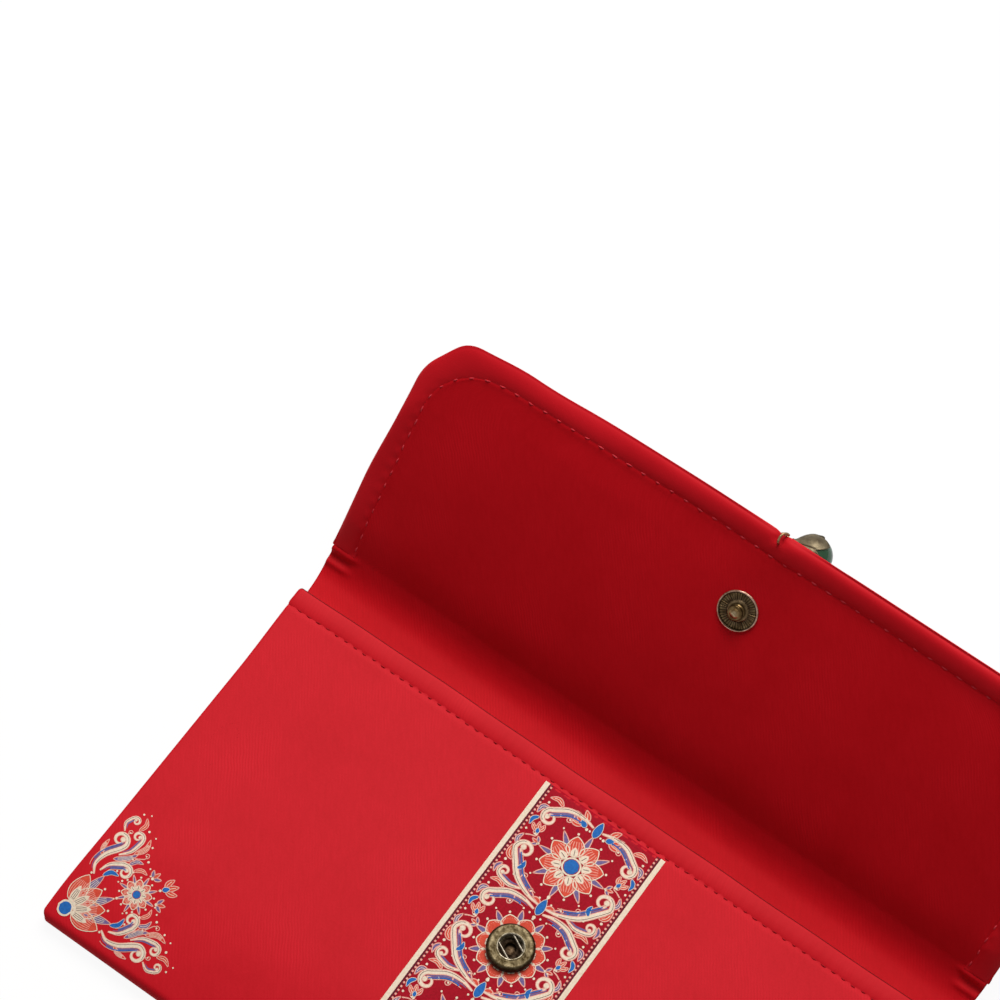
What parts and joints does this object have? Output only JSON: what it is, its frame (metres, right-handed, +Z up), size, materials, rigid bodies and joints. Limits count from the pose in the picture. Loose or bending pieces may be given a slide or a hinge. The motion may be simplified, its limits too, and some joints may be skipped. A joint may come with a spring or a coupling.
{
  "type": "money pouch",
  "caption": "Flat fabric money pouch with a stiffened pocket, a bound fold-over flap, a press snap and a glass bead charm on the flap's edge.",
  "frame": {"origin": "centre of the back's outer face, on the surface that the pouch lies on", "axes": "+X across the pouch, +Y from the bottom fold to the mouth, +Z up out of the front"},
  "size_m": [0.1874, 0.1664, 0.0558],
  "materials": {
    "red_cloth": "fine satin weave",
    "lining_cloth": "matte plain weave",
    "binding_tape": "satin tape",
    "thread": "twisted thread",
    "board": "uncoated card",
    "antique_brass": "antiqued",
    "spring_steel": "drawn wire",
    "gold_wire": "plated",
    "green_glass": "polished"
  },
  "bodies": {
    "pouch": {"back_cover": "red_cloth", "back_board": "board", "back_lining": "lining_cloth", "front_cover": "red_cloth", "front_board": "board", "front_lining": "lining_cloth", "bottom_fold": "red_cloth", "left_gusset": "lining_cloth", "right_gusset": "lining_cloth", "mouth_binding": "binding_tape", "mouth_stitching": "thread", "snap_socket": "antique_brass", "socket_spring": "spring_steel", "socket_eyelet": "antique_brass", "spine_cover": "red_cloth", "spine_lining": "lining_cloth"},
    "flap": {"flap_cover": "red_cloth", "flap_board": "board", "flap_lining": "lining_cloth", "flap_binding": "binding_tape", "flap_stitching": "thread", "snap_stud": "antique_brass", "snap_cap": "antique_brass", "charm_link": "gold_wire"},
    "charm": {"charm_pin": "gold_wire", "charm_cap": "antique_brass", "charm_bead": "green_glass"}
  },
  "joints": [
    {"name": "flap_fold", "type": "hinge", "parent": "pouch", "child": "flap", "pos_m": [0, 0.05566, 0.006], "axis": [1, 0, 0], "range_deg": [-36, 133], "deforming": ["spine_cover", "spine_lining", "socket_spring"]},
    {"name": "charm_swing", "type": "hinge", "parent": "flap", "child": "charm", "pos_m": [0, 0.10967, 0.05095], "axis": [0, 0.682, 0.7314], "range_deg": [0, 122.5]}
  ]
}
